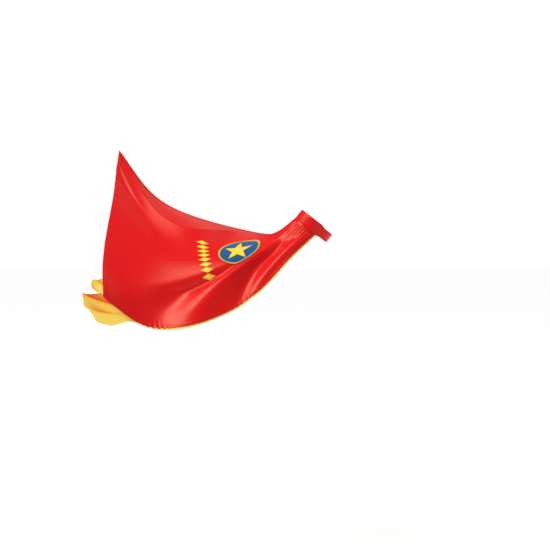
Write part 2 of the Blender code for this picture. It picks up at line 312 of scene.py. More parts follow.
def shoulder_roll(S, T, s):
    """A roll that leaves the right edge at the neck, bows in over the shoulder and comes back to the
    edge."""
    line = along_line(
        s, [0.0, 0.03, 0.105, 0.185, 0.265, 0.315, 0.37, 0.42],
        [-0.88, -0.85, -0.76, -0.73, -0.77, -0.86, -0.98, -1.1],
    )[:, None]
    over = T - line
    present = smooth_step(S, 0.02, 0.09) * (1 - smooth_step(S, 0.34, 0.46))
    return present * (hump(over, -0.05, 0.13) - 0.7 * hump(over, 0.22, 0.14))


def corner_pulls(S, T):
    """Two tension lines that run from the hem's left corner towards the middle."""
    far = (S - 0.98) * 0.857 - (T - 0.87) * 0.51
    near = (S - 0.99) * 0.80 - (T - 0.80) * 0.60
    present = hump(S, 0.93, 0.10)
    return present * (hump(far, 0.0, 0.020) + 0.6 * hump(near, 0.04, 0.022) - 0.7 * hump(far, 0.05, 0.03))


def fold_height(s, t):
    """Height of the broad folds over the grid of s and t."""
    S, T = np.meshgrid(s, t, indexing="ij")
    shapes = (
        0.85 * strip_fold(S, T, s),
        side_waves(S, T, t),
        0.55 * shoulder_roll(S, T, s),
        0.26 * corner_pulls(S, T),
    )
    return sizes().fold_depth * sum(shapes)


def fine_height(s, t):
    """Height of the gathers under the neckband, the puckers along the right edge and hem, and faint
    ripples."""
    S, T = np.meshgrid(s, t, indexing="ij")
    phase = 1.3 * np.sin(5 * T) + 0.6 * np.sin(11 * T + 1)
    gathers = np.sin(np.pi * GATHERS * T + phase) * (0.8 + 0.2 * np.sin(13 * T + 1.0))
    fade = 0.75 * np.exp(-S / 0.035) + 0.25 * np.exp(-S / 0.11)
    height = sizes().gather_depth * gathers * fade * smooth_step(S, -0.002, 0.016)
    edge = np.exp(-(T + 1.0) / 0.045)
    pull = hump(S, 0.735, 0.085) + 0.45 * hump(S, 0.40, 0.07) + 0.12
    pull = pull * (0.55 + 0.45 * np.sin(31 * S + 2))
    pucker = np.sin(2 * np.pi * EDGE_PUCKERS * S + 1.6 * np.sin(17 * S) + 6 * T)
    height = height + sizes().pucker_depth * pucker * edge * pull
    hem = np.exp(-(1.0 - S) / 0.018) * (0.5 + 0.5 * np.sin(5 * T + 0.5))
    ruffle = np.sin(2 * np.pi * HEM_PUCKERS * T + 2.5 * np.sin(5 * T))
    height = height + 0.35 * sizes().pucker_depth * ruffle * hem
    ripple = np.sin(7 * T + 4 * S + 1.5 * np.sin(4 * S)) * np.sin(6 * S - 3 * T + 0.8)
    return height + 0.0014 * ripple * smooth_step(S, 0.1, 0.3)


@functools.lru_cache(maxsize=None)
def lattice():
    """The s and t of the outer's grid: closer together at the neck, and at both side edges."""
    share = np.linspace(0, 1, LATTICE_S)
    s = TUCK + (1 - TUCK) * (share + 0.35 * (share**2 - share) * (1 - share))
    share = np.linspace(-1, 1, LATTICE_T)
    return s, share * (1.22 - 0.22 * share**2)


@functools.lru_cache(maxsize=None)
def cape_cloth():
    """Middle surface of the two sewn layers: the ribs' surface raised by the folds and the fine
    wrinkles."""
    s, t = lattice()
    points = base_grid(s, t)
    points = points + fold_height(s, t)[..., None] * grid_normals(points)
    points = points + fine_height(s, t)[..., None] * grid_normals(points)
    return points, grid_normals(points)


def on_cape(s, t, lift):
    """Points this high over the cape's middle surface, read between the lattice's points."""
    lattice_s, lattice_t = lattice()
    points, normals = cape_cloth()
    s, t = np.broadcast_arrays(np.asarray(s, float), np.asarray(t, float))
    i = np.clip(np.searchsorted(lattice_s, s) - 1, 0, LATTICE_S - 2)
    j = np.clip(np.searchsorted(lattice_t, t) - 1, 0, LATTICE_T - 2)
    a = ((s - lattice_s[i]) / (lattice_s[i + 1] - lattice_s[i]))[..., None]
    b = ((t - lattice_t[j]) / (lattice_t[j + 1] - lattice_t[j]))[..., None]

    def between(table):
        low = table[i, j] * (1 - b) + table[i, j + 1] * b
        return low * (1 - a) + (table[i + 1, j] * (1 - b) + table[i + 1, j + 1] * b) * a

    up = unit(between(normals))
    return between(points) + np.asarray(lift)[..., None] * up, up


# ---------------------------------------------------------------- meshes


def new_piece(name, vertices, quads, finish, triangles=(), uv=None, smooth=True):
    """A mesh object at the origin from arrays, with an optional UV for each vertex, in metres of cloth."""
    mesh = bpy.data.meshes.new(name)
    faces = np.asarray(quads).tolist() + np.asarray(triangles).tolist()
    mesh.from_pydata(np.asarray(vertices).reshape(-1, 3).tolist(), [], faces)
    if uv is not None:
        layer = mesh.uv_layers.new(name="cloth")
        corner = np.empty(len(mesh.loops), np.int32)
        mesh.loops.foreach_get("vertex_index", corner)
        layer.data.foreach_set("uv", np.asarray(uv, float).reshape(-1, 2)[corner].astype(np.float32).ravel())
    mesh.materials.append(finish)
    if smooth:
        mesh.shade_smooth()
    obj = bpy.data.objects.new(name, mesh)
    bpy.context.collection.objects.link(obj)
    return obj


def grid_quads(rows, columns, closed=False):
    index = np.arange(rows * columns).reshape(rows, columns)
    if closed:
        index = np.hstack([index, index[:, :1]])
    quads = np.stack([index[:-1, :-1], index[:-1, 1:], index[1:, 1:], index[1:, :-1]], axis=-1)
    return quads.reshape(-1, 4)


def border(rows, columns):
    """The indices round a grid: first row, last column, last row back, first column back."""
    index = np.arange(rows * columns).reshape(rows, columns)
    return np.concatenate([index[0, :-1], index[:-1, -1], index[-1, :0:-1], index[:0:-1, 0]])


def thick_grid(name, middle, normals, thickness, finish, uv):
    """A closed sheet of cloth: the grid raised and lowered by half its thickness along its normals, and
    joined round the border by a line pushed out by half the thickness, which rounds the edge."""
    rows, columns = middle.shape[:2]
    half = np.broadcast_to(np.asarray(thickness, float) / 2, (rows, columns))[..., None]
    count = rows * columns
    top = (middle + half * normals).reshape(-1, 3)
    bottom = (middle - half * normals).reshape(-1, 3)
    loop = border(rows, columns)
    flat = middle.reshape(-1, 3)
    ahead = np.roll(flat[loop], -1, axis=0) - np.roll(flat[loop], 1, axis=0)
    outward = unit(np.cross(ahead, normals.reshape(-1, 3)[loop]))
    rim = flat[loop] + half.reshape(-1, 1)[loop] * outward
    rim_index = 2 * count + np.arange(len(loop))
    following = np.roll(loop, -1)
    rim_following = np.roll(rim_index, -1)
    upper = np.stack([loop, rim_index, rim_following, following], axis=-1)
    lower = np.stack([rim_index, loop + count, following + count, rim_following], axis=-1)
    quads = grid_quads(rows, columns)
    faces = np.concatenate([quads, quads[:, ::-1] + count, upper, lower])
    vertices = np.concatenate([top, bottom, rim])
    flat_uv = uv.reshape(-1, 2)
    return new_piece(name, vertices, faces, finish, uv=np.concatenate([flat_uv, flat_uv, flat_uv[loop]]))


def cloth_uv(middle):
    """Metres of cloth along and across, from the mean step between rows and columns."""
    down = np.linalg.norm(np.diff(middle, axis=0), axis=-1).mean(axis=1)
    over = np.linalg.norm(np.diff(middle, axis=1), axis=-1).mean(axis=0)
    v = np.append(0.0, np.cumsum(down))
    u = np.append(0.0, np.cumsum(over))
    return np.stack(np.meshgrid(u, v), axis=-1)


def capsule(sides=6, rings=5):
    """A short rounded rod along X from -1 to 1 with radius 1: rings of cosine-eased size, closed by two
    tips."""
    along = -np.cos(np.linspace(0, np.pi, rings + 2))[1:-1]
    size = np.sqrt(1 - (0.92 * along) ** 4)
    turn = np.linspace(0, 2 * np.pi, sides, endpoint=False)
    body = np.stack(
        [np.repeat(along, sides), np.outer(size, np.cos(turn)).ravel(), np.outer(size, np.sin(turn)).ravel()],
        axis=-1,
    )
    quads = grid_quads(rings, sides, closed=True)[:, ::-1]
    count = rings * sides
    k = np.arange(sides)
    following = (k + 1) % sides
    first = np.stack([0 * k + count, following, k], axis=-1)
    last = np.stack([0 * k + count + 1, count - sides + k, count - sides + following], axis=-1)
    return np.vstack([body, [(-1, 0, 0), (1, 0, 0)]]), quads, np.vstack([first, last])


def rods(name, starts, ends, up, radius, finish, arch=0.0, sides=6, rings=5):
    """Many short threads: a capsule carried to each start and end, arched along the up direction by arch
    times its length times one minus the square of its share of the way."""
    template, quads, triangles = capsule(sides, rings)
    middle = (starts + ends) / 2
    half = (ends - starts) / 2
    length = np.linalg.norm(half, axis=-1, keepdims=True)
    along = unit(half)
    side = unit(np.cross(up, along))
    over = np.cross(along, side)
    x = template[:, 0][None, :, None]
    radius = np.broadcast_to(np.asarray(radius, float), (len(starts),))[:, None, None]
    points = middle[:, None] + x * half[:, None]
    points = points + radius * template[:, 1][None, :, None] * side[:, None]
    points = points + radius * template[:, 2][None, :, None] * over[:, None]
    points = points + arch * 2 * length[:, None] * (1 - x**2) * over[:, None]
    shift = len(template) * np.arange(len(starts))[:, None, None]
    return new_piece(
        name, points, (quads + shift).reshape(-1, 4), finish, triangles=(triangles + shift).reshape(-1, 3)
    )


def stitch_ends(points, normals, pitch, fill, closed=False):
    """Starts, ends and up directions of a row of stitches: even steps of arc length along the line, each
    with a thread over this share of it."""
    if closed:
        points = np.vstack([points, points[:1]])
        normals = np.vstack([normals, normals[:1]])
    length = np.append(0.0, np.cumsum(np.linalg.norm(np.diff(points, axis=0), axis=1)))
    count = max(int(length[-1] / pitch), 2)
    begin = np.arange(count) * length[-1] / count
    end = begin + fill * length[-1] / count

    def at(distance, table):
        return np.stack([np.interp(distance, length, table[:, k]) for k in range(3)], axis=-1)

    return at(begin, points), at(end, points), unit(at((begin + end) / 2, normals))


def stitch_run(name, points, normals, finish, closed=False):
    """A row of arched threads along a line of points."""
    starts, ends, up = stitch_ends(points, normals, sizes().stitch_pitch, THREAD_SHARE, closed)
    return rods(name, starts, ends, up, sizes().thread_radius, finish, arch=0.06)


def thick_disc(name, ring_points, ring_normals, thickness, finish, hole=False):
    """A closed body from rings of points, inner ring first: both faces, the outer wall, and either a wall
    round the hole or a fan of triangles from the middle of the inner ring."""
    rings, around = ring_points.shape[:2]
    half = np.broadcast_to(np.asarray(thickness, float) / 2, (rings, around))[..., None]
    top = (ring_points + half * ring_normals).reshape(-1, 3)
    bottom = (ring_points - half * ring_normals).reshape(-1, 3)
    count = rings * around
    quads = grid_quads(rings, around, closed=True)
    k = np.arange(around)
    following = (k + 1) % around
    outer, outer_next = k + count - around, following + count - around
    wall = np.stack([outer, outer_next, outer_next + count, outer + count], axis=-1)
    faces = [quads, quads[:, ::-1] + count, wall[:, ::-1]]
    vertices = [top, bottom]
    triangles = ()
    if hole:
        faces.append(np.stack([k, following, following + count, k + count], axis=-1))
    else:
        vertices.append([top[:around].mean(axis=0), bottom[:around].mean(axis=0)])
        upper = np.stack([0 * k + 2 * count, following, k], axis=-1)
        lower = np.stack([0 * k + 2 * count + 1, k + count, following + count], axis=-1)
        triangles = np.vstack([upper[:, ::-1], lower[:, ::-1]])
    quads = np.concatenate(faces)
    piece = new_piece(name, np.concatenate(vertices), quads, finish, triangles=triangles)
    return facing_out(piece)


def facing_out(piece):
    """Turns a closed body's faces outwards."""
    shape = bmesh.new()
    shape.from_mesh(piece.data)
    bmesh.ops.recalc_face_normals(shape, faces=shape.faces)
    shape.to_mesh(piece.data)
    shape.free()
    piece.data.set_sharp_from_angle(angle=np.radians(50))
    return piece


# ---------------------------------------------------------------- finishes


def group(name, inputs, outputs):
    """A new shader node group with these sockets, given as (name, kind, default)."""
    tree = bpy.data.node_groups.new(name, "ShaderNodeTree")
    for label, kind, default in inputs:
        socket = tree.interface.new_socket(name=label, in_out="INPUT", socket_type=kind)
        if default is not None:
            socket.default_value = default
    for label, kind in outputs:
        tree.interface.new_socket(name=label, in_out="OUTPUT", socket_type=kind)
    return tree, tree.nodes.new("NodeGroupInput"), tree.nodes.new("NodeGroupOutput")


def feed(tree, node, values):
    """Gives each of these inputs of the node a number or colour, or a link from another node's socket."""
    for key, value in values.items():
        if isinstance(value, bpy.types.NodeSocket):
            tree.links.new(value, node.inputs[key])
        else:
            node.inputs[key].default_value = value


def add_node(tree, kind, values, **settings):
    """A new shader node with these settings and inputs."""
    node = tree.nodes.new(f"ShaderNode{kind}")
    for key, value in settings.items():
        setattr(node, key, value)
    feed(tree, node, values)
    return node


def maths(tree, operation, *values):
    """What a maths node makes of one or two numbers or sockets."""
    return add_node(tree, "Math", dict(enumerate(values)), operation=operation).outputs[0]


@functools.lru_cache(maxsize=None)
def weave_group():
    """Satin weave from the cloth's own UV in metres: a sine across the warp threads, plus a weaker sine along
    them over five threads, stepped from thread to thread, and a stretched noise for the slubs."""
    tree, given, out = group(
        "Satin weave",
        [("Vector", "NodeSocketVector", None), ("Threads per metre", "NodeSocketFloat", THREADS_PER_METRE)],
        [("Height", "NodeSocketFloat"), ("Slub", "NodeSocketFloat")],
    )
    place, threads = given.outputs["Vector"], given.outputs["Threads per metre"]
    split = add_node(tree, "SeparateXYZ", {0: place})
    across = maths(tree, "MULTIPLY", split.outputs[0], threads)
    along = maths(tree, "MULTIPLY", split.outputs[1], threads)
    warp = maths(tree, "SINE", maths(tree, "MULTIPLY", across, THREAD_TURN))
    step = maths(tree, "MULTIPLY", maths(tree, "FLOOR", across), 0.4)
    floats = maths(tree, "SINE", maths(tree, "MULTIPLY", maths(tree, "ADD", along, step), FLOAT_TURN))
    height = maths(tree, "ADD", warp, maths(tree, "MULTIPLY", floats, 0.6))
    stretch = add_node(tree, "Mapping", {"Vector": place, "Scale": (900.0, 14.0, 1.0)})
    slub = add_node(tree, "TexNoise", {"Vector": stretch.outputs["Vector"], "Scale": 1.0, "Detail": 3.0})
    feed(tree, out, {"Height": height, "Slub": slub.outputs["Fac"]})
    return tree


@functools.lru_cache(maxsize=None)
def tone_group():
    """Cloud of light and shade over a cloth: slow noise turned into a share between two tones."""
    tree, given, out = group(
        "Cloth tone",
        [
            ("Vector", "NodeSocketVector", None),
            ("Scale", "NodeSocketFloat", 6.0),
            ("Light", "NodeSocketColor", (1, 1, 1, 1)),
            ("Dark", "NodeSocketColor", (0, 0, 0, 1)),
        ],
        [("Colour", "NodeSocketColor")],
    )
    told = given.outputs
    noise = add_node(
        tree, "TexNoise", {"Vector": told["Vector"], "Scale": told["Scale"], "Detail": 4.0, "Roughness": 0.55}
    )
    tone = mixed(tree, noise.outputs["Fac"], told["Dark"], told["Light"])
    feed(tree, out, {"Colour": tone})
    return tree


def mixed(tree, share, first, second):
    """The colour at this share of the way from the first to the second."""
    values = {"Factor": share, "A": first, "B": second}
    return add_node(tree, "Mix", values, data_type="RGBA").outputs["Result"]


def new_finish(name):
    """A new material, its tree, its texture coordinates and its Principled BSDF."""
    made = bpy.data.materials.new(name)
    made.use_nodes = True
    tree = made.node_tree
    return made, tree, tree.nodes.new("ShaderNodeTexCoord").outputs, tree.nodes["Principled BSDF"]


def tones(tree, vector, scale, colour, spread):
    """The cloth-tone group between a darker and a lighter form of the colour."""
    light = (*[min(c * (1 + spread), 1.0) for c in colour], 1)
    dark = (*[c * (1 - spread) for c in colour], 1)
    values = {"Vector": vector, "Scale": scale, "Light": light, "Dark": dark}
    return add_node(tree, "Group", values, node_tree=tone_group()).outputs["Colour"]


def bump(tree, height, strength, distance):
    """The normal that this height gives."""
    values = {"Height": height, "Strength": strength, "Distance": distance}
    return add_node(tree, "Bump", values).outputs["Normal"]


def ranged(tree, value, low, high):
    """A share from 0 to 1, spread over low to high."""
    return add_node(tree, "MapRange", {"Value": value, "To Min": low, "To Max": high}).outputs["Result"]


def satin(name, colour, glint, roughness=0.33):
    """Polyester satin: fine warp floats, slubs that vary the gloss, a soft cloud of tone, and a tinted
    shine."""
    made, tree, place, shader = new_finish(name)
    values = {"Vector": place["UV"], "Threads per metre": THREADS_PER_METRE}
    weave = add_node(tree, "Group", values, node_tree=weave_group()).outputs
    feed(tree, shader, {
        "Base Color": tones(tree, place["Object"], 7.0, colour, 0.06),
        "Roughness": ranged(tree, weave["Slub"], roughness - 0.05, roughness + 0.07),
        "Normal": bump(tree, weave["Height"], 0.10, 0.0001),
        "Anisotropic": 0.5,
        "Sheen Weight": 0.03,
        "Sheen Roughness": 0.5,
        "Sheen Tint": (*glint, 1),
        "Specular IOR Level": 0.36,
        "Specular Tint": (*glint, 1),
    })
    return made


def lining_finish(name):
    """The yellow satin, turned towards an orange red painted shade wherever the mesh's painted shade
    attribute is high: painted shade and red bounce light in the loose corner's folds.
    """
    made = satin(name, colours().yellow, YELLOW_GLINT, YELLOW_ROUGHNESS)
    tree = made.node_tree
    shader = tree.nodes["Principled BSDF"]
    plain_colour = shader.inputs["Base Color"].links[0].from_socket
    # Painted shade: the attribute marks the lining's folds, where the colour is mixed to orange red for shade
    # and red bounce light
    share = add_node(tree, "Attribute", {}, attribute_name="near_red").outputs["Fac"]
    feed(tree, shader, {"Base Color": mixed(tree, share, plain_colour, SHADED_YELLOW)})
    return made


def thread_finish(name, colour):
    """Twisted polyester thread: bands that slant round it, and a soft shine."""
    made, tree, place, shader = new_finish(name)
    values = {"Vector": place["Object"], "Scale": 900.0, "Distortion": 1.5}
    twist = add_node(tree, "TexWave", values, bands_direction="DIAGONAL").outputs["Fac"]
    feed(tree, shader, {
        "Base Color": tones(tree, place["Object"], 60.0, colour, 0.12),
        "Roughness": ranged(tree, twist, 0.38, 0.55),
        "Normal": bump(tree, twist, 0.3, 0.0001),
        "Sheen Weight": 0.2,
    })
    return made


def felt(name, colour, roughness=0.85):
    """Pressed felt: a mat of crossing fibres, matt, with small light and dark flecks."""
    made, tree, place, shader = new_finish(name)
    values = {"Vector": place["Object"], "Scale": 900.0, "Detail": 6.0, "Distortion": 2.5}
    fibres = add_node(tree, "TexNoise", values).outputs["Fac"]
    feed(tree, shader, {
        "Base Color": tones(tree, place["Object"], 260.0, colour, 0.18),
        "Roughness": ranged(tree, fibres, roughness - 0.1, roughness + 0.1),
        "Normal": bump(tree, fibres, 0.35, 0.0004),
        "Sheen Weight": 0.08,
        "Specular IOR Level": 0.25,
    })
    return made


def shared(name, make, *values):
    """The finish of this name, made the first time that it is asked for."""
    return bpy.data.materials.get(name) or make(name, *values)


def red_satin():
    return shared("Red satin", satin, colours().red, RED_GLINT)


def yellow_satin():
    return shared("Yellow satin", satin, colours().yellow, YELLOW_GLINT, YELLOW_ROUGHNESS)


def gold_satin():
    return shared("Gold satin", satin, colours().gold, YELLOW_GLINT, 0.4)


def interfacing_felt():
    return shared("Interfacing felt", felt, colours().white)


def hook_finish():
    return shared("Hook tape", felt, [0.8 * c for c in colours().red], 0.45)


def loop_finish():
    return shared("Loop tape", felt, [0.9 * c for c in colours().red])


def thread_of(colour):
    return shared(f"{colour.title()} thread", thread_finish, getattr(colours(), colour))


# ---------------------------------------------------------------- pieces


def standing_for(piece, nodes):
    """The piece stands for its nodes, which are hidden."""
    if nodes:
        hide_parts(*nodes)
    return piece


def on_body(piece, body, slot, *nodes):
    """The piece moves with this body, and stands for its nodes."""
    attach(piece, body)
    return standing_for(piece, nodes)


def on_bend(piece, bodies, bend, slot, *nodes):
    """The piece's placement is baked into its mesh, and it stands for its nodes. The bodies and the two
    places are not used.
    """
    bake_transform(piece)
    return standing_for(piece, nodes)


def on_panel(piece, slot, *nodes):
    """The piece is baked in place and stands for its nodes; the places of the cape's bend behind the
    shoulders are passed on but not used.
    """
    return on_bend(piece, ("neckband", "panel"), (BLEND_START, BLEND_END), slot, *nodes)


def hem_step(s, t):
    """Extra thickness of the turned hems: a low step 11 mm in from the sides and the hem."""
    S, T = np.meshgrid(s, t, indexing="ij")
    side = smooth_step(np.abs(T), 1 - 0.044, 1 - 0.036)
    foot = smooth_step(S, 1 - 0.020, 1 - 0.015)
    return 0.0006 * np.maximum(side, foot)


def make_outer():
    """The red satin on the cape's surface, thicker at its turned hems. Its right edge is drawn in by a row of
    half sine waves, which fade away from the edge."""
    s, t = lattice()
    middle, normals = cape_cloth()
    step = hem_step(s, t)
    across = unit(np.gradient(middle, axis=1))
    scallop = np.abs(np.sin(np.pi * SCALLOPS * s)) * (hump(s, 0.735, 0.075) + 0.15 * hump(s, 0.45, 0.2))
    inwards = 0.0036 * scallop[:, None] * np.exp(-(t + 1) / 0.02)[None, :]
    middle = middle + (LAYER_LIFT + step / 2)[..., None] * normals + inwards[..., None] * across
    piece = thick_grid("cape_outer_cloth", middle, normals, CLOTH + step, red_satin(), cloth_uv(middle))
    on_panel(piece, "outer_satin", "outer_shoulder", "outer_panel")


def loose_corner(t):
    """The lining's free edge below the hem's right corner, as a spline through points from the middle of
    the right half to the corner: two lobes with a fold between them."""
    shares = np.array([-1.04, -1.0, -0.96, -0.92, -0.88, -0.83, -0.78, -0.73, -0.68, -0.60, -0.50])
    edge = np.array(
        [(-0.608, -0.118, -0.287), (-0.640, -0.124, -0.281), (-0.667, -0.140, -0.254),
         (-0.681, -0.154, -0.222), (-0.687, -0.158, -0.192), (-0.642, -0.126, -0.196),
         (-0.668, -0.092, -0.186), (-0.672, -0.070, -0.160), (-0.654, -0.074, -0.158),
         (-0.632, -0.092, -0.148), (-0.629, -0.088, -0.120)]
    )
    return spline(shares, edge, np.clip(t, -1.04, -0.50))


def shaded(s, t):
    """Share of painted shade in the lining's folds, an orange red that stands for shade and red bounce light:
    deep between the lobes, less in the pleat."""
    S, T = np.meshgrid(s, t, indexing="ij")
    mouth = hump(T, MOUTH_T, 0.026) * smooth_step(S, 0.86, 0.93)
    pleat = 0.9 * hump(T - 0.35 * (S - 0.96), PLEAT_T, 0.012) * hump(S, 0.95, 0.03)
    upper = 0.55 * hump(T, -0.72, 0.022) * smooth_step(S, 0.88, 0.95) * (1 - smooth_step(S, 0.96, 0.995))
    return np.clip(mouth + pleat + upper, 0, 1)


def lining_grid(s, t):
    """The lining lies under the outer and shows as a piping past its right edge. Towards the hem's right
    corner it leaves the outer for the loose corner's edge, with folds that run out to the lobes."""
    inside = np.clip(t, -1, 1)
    points, normals = on_cape(s[:, None], inside[None, :], -LAYER_LIFT)
    S, T = np.meshgrid(s, t, indexing="ij")
    across = unit(np.gradient(points, axis=1)[:, np.argmax(t > -1)])[:, None]
    beyond = np.minimum(t + 1, 0)[None, :] / LINING_SHOW
    piping = RIGHT_PIPING * (1 - 0.5 * smooth_step(s, 0.70, 0.78))
    points = points + (beyond * piping[:, None])[..., None] * across
    hem, _ = on_cape(1.0, inside, -LAYER_LIFT)
    leave = loose_corner(t) - hem
    weight = smooth_step(S, 0.84, 1.0) ** 1.25
    weight = weight * (1 - smooth_step(T, -0.62, -0.50))
    folds = 0.013 * hump(T, MOUTH_T, 0.022) + 0.009 * hump(T, PLEAT_T, 0.015) - 0.005 * hump(T, -0.895, 0.016)
    folds = folds + 0.007 * hump(T, -0.99, 0.014) + 0.006 * hump(T, -0.70, 0.022)
    below = 0.003 * weight + folds * smooth_step(S, 0.86, 0.96)
    points = points + weight[..., None] * leave[None] - below[..., None] * normals
    peek = 0.0016 * np.maximum(np.sin(21 * T), 0) * smooth_step(S, 0.97, 1.0) * smooth_step(T, -0.55, -0.45)
    return points + (peek * (1 - smooth_step(T, 0.0, 0.3)))[..., None] * unit(np.gradient(points, axis=0))


def make_lining():
    """The yellow satin on its own grid, closer together at the hem and right edge, where it is rolled."""
    share = np.linspace(0, 1, 240)
    s = TUCK + (1 - TUCK) * (1 - (1 - share) ** 1.25)
    share = np.linspace(0, 1, 196)
    t = -1 - LINING_SHOW + (2 + LINING_SHOW) * share**1.35
    middle = lining_grid(s, t)
    rolled = CLOTH + 0.0010 * smooth_step(-t, 1.0, 1 + 0.5 * LINING_SHOW)[None, :] * np.ones_like(s)[:, None]
    finish = shared("Lining satin", lining_finish)
    piece = thick_grid("cape_lining_cloth", middle, grid_normals(middle), rolled, finish, cloth_uv(middle))
    # Painted shade: the lining's folds get an orange red share for shade and red bounce light, stored as a
    # point attribute
    shade = shaded(s, t).ravel()
    shade = np.concatenate([shade, shade, shade[border(len(s), len(t))]])
    near_red = piece.data.attributes.new("near_red", "FLOAT", "POINT")
    near_red.data.foreach_set("value", shade.astype(np.float32))
    on_panel(piece, "lining_satin", "lining_shoulder", "lining_panel")


def make_edge_stitching():
    """Rows of stitches that hold the turned side hems and the foot hem."""
    finish = thread_of("red")
    along = np.linspace(0.01, HEM_ROW_S, 900)
    across = np.linspace(-SIDE_ROW_T, SIDE_ROW_T, 900)
    top = LAYER_LIFT + CLOTH / 2 + 0.0008
    for name, s, t in (
        ("right_edge", along, -SIDE_ROW_T + 0 * along),
        ("left_edge", along, SIDE_ROW_T + 0 * along),
        ("hem", HEM_ROW_S + 0 * across, across),
    ):
        points, normals = on_cape(s, t, top + 0 * s)
        piece = stitch_run(f"{name}_stitches", points, normals, finish)
        on_panel(piece, "sewing_thread", f"{name}_stitching")


# ---------------------------------------------------------------- neckband and closure


def band_height(degrees):
    """The band is full height along the seam and narrower at both closure ends."""
    share = smooth_step(np.abs(degrees), SEAM_END, SEAM_END + 20)
    return BAND_HEIGHT + share * (CLOSURE_HEIGHT - BAND_HEIGHT)


def band_rise(degrees):
    """How far the strap lifts, so that it passes outside the other end."""
    return STRAP_RISE * smooth_step(degrees, SEAM_END, RISE_END)


def on_band(degrees, share, lift):
    """Points round the band at a share of its half height, this far outside the neck radius, and the way
    out."""
    along = np.asarray(share) * band_height(degrees) / 2
    outwards = ring(degrees, 1.0, 0.0)
    return ring(degrees, NECK_RADIUS + lift + band_rise(degrees), along), outwards


def strip_cloth(name, start, end, profile, thickness, finish, round_start=0.0, round_end=0.0, inset=0.0):
    """A strip of cloth round the neck. profile gives its lift over angle and share of the height. Its ends
    are rounded: within the rounding's length, the half height follows a quarter circle."""
    degrees = np.linspace(start, end, max(int(abs(end - start) / STRIP_STEP), 12))
    share = np.sin(np.linspace(-np.pi / 2, np.pi / 2, STRIP_POINTS))
    D, H = np.meshgrid(degrees, share, indexing="ij")
    half = band_height(degrees) / 2 - inset
    for corner, distance in ((round_start, degrees - start), (round_end, end - degrees)):
        if corner:
            left = np.clip(corner - np.radians(distance) * NECK_RADIUS, 0, corner)
            half = half - corner + np.sqrt(np.maximum(corner**2 - left**2, 1e-9))
    lift = profile(D, H)
    points = ring(D, NECK_RADIUS + lift + band_rise(D), half[:, None] * H)
    normals = -grid_normals(points)
    points, normals = points[:, ::-1], normals[:, ::-1]
    if np.sum(normals * ring(D, 1.0, 0.0)[:, ::-1]) < 0:
        normals = -normals
        points, normals = points[:, ::-1], normals[:, ::-1]
    piece = thick_grid(name, points, normals, thickness, finish, cloth_uv(points))
    return facing_out(piece)


def cover_lift(degrees, share):
    """The lift of a cover over its padding: low at both edges, crowned between them as the root of one
    minus the eighth power of the share of the height, and pulled in along both rows of stitches."""
    rows = hump(np.abs(share), 0.80, 0.045)
    pucker = np.sin(np.radians(degrees) * 75 + 2 * np.sin(np.radians(degrees) * 9))
    dents = 0.00028 * rows + 0.00012 * pucker * hump(np.abs(share), 0.85, 0.22)
    return COVER_LIFT + COVER_CROWN * np.sqrt(np.maximum(1 - share**8, 0)) - dents


def facing_lift(degrees, share):
    """The lift of a facing: even, and a little higher towards both edges."""
    return 0.0004 + 0.0004 * share**6


def make_neckband():
    """The band's satin cover, its facing and their rows of stitches. The cover opens a little at its right
    end, where the strap goes in."""

    def cover(degrees, share):
        return cover_lift(degrees, share) + 0.0009 * smooth_step(degrees, *OPENING)

    def facing(degrees, share):
        return facing_lift(degrees, share) - 0.0006 * smooth_step(degrees, *OPENING)

    for name, node, profile, finish, slot, inset in (
        ("neckband_cover", "neckband_outer", cover, red_satin(), "outer_satin", 0.0),
        ("neckband_inner_facing", "neckband_facing", facing, yellow_satin(), "lining_satin", 0.0006),
    ):
        piece = strip_cloth(
            name, -TAB_END, SEAM_END - 2, profile, CLOTH, finish, round_start=0.007, inset=inset
        )
        on_body(piece, "neckband", slot, node)
    degrees = np.linspace(-SEAM_END - 44, SEAM_END - 4, 500)
    for name, share in (("top", BAND_ROW), ("seam", -BAND_ROW)):
        points, outwards = on_band(degrees, share, cover(degrees, share) + CLOTH / 2 + 0.0001)
        piece = stitch_run(f"band_{name}_stitches", points, outwards, thread_of("red"))
        on_body(piece, "neckband", "sewing_thread", f"neckband_{name}_stitching")


def make_bar_tacks():
    """A short dense bar of stitches at each front corner: threads laid side by side across it, and the two
    long threads that they bind."""
    for name, at in (("bar_tack_right", SEAM_END - 7), ("bar_tack_left", -SEAM_END - 4)):
        count = 26
        height = np.linspace(-0.55, 0.55, count)
        lean = np.where(np.arange(count) % 2, 0.35, -0.35)
        lift = 0.0039 + 0.0005 * (at > 0)
        starts, outwards = on_band(np.full(count, at - 1.5), height, lift)
        ends, _ = on_band(np.full(count, at + 1.5), height + 0.02 * lean, lift)
        piece = rods(f"{name}_stitches", starts, ends, outwards, TACK_RADIUS, thread_of("red"), arch=0.05)
        on_body(piece, "neckband", "sewing_thread", name)


def band_place(degrees):
    """A point on the band's middle line, to say where a bend starts or ends."""
    return tuple(float(x) for x in ring(degrees, NECK_RADIUS + 0.003 + band_rise(degrees), 0.0))


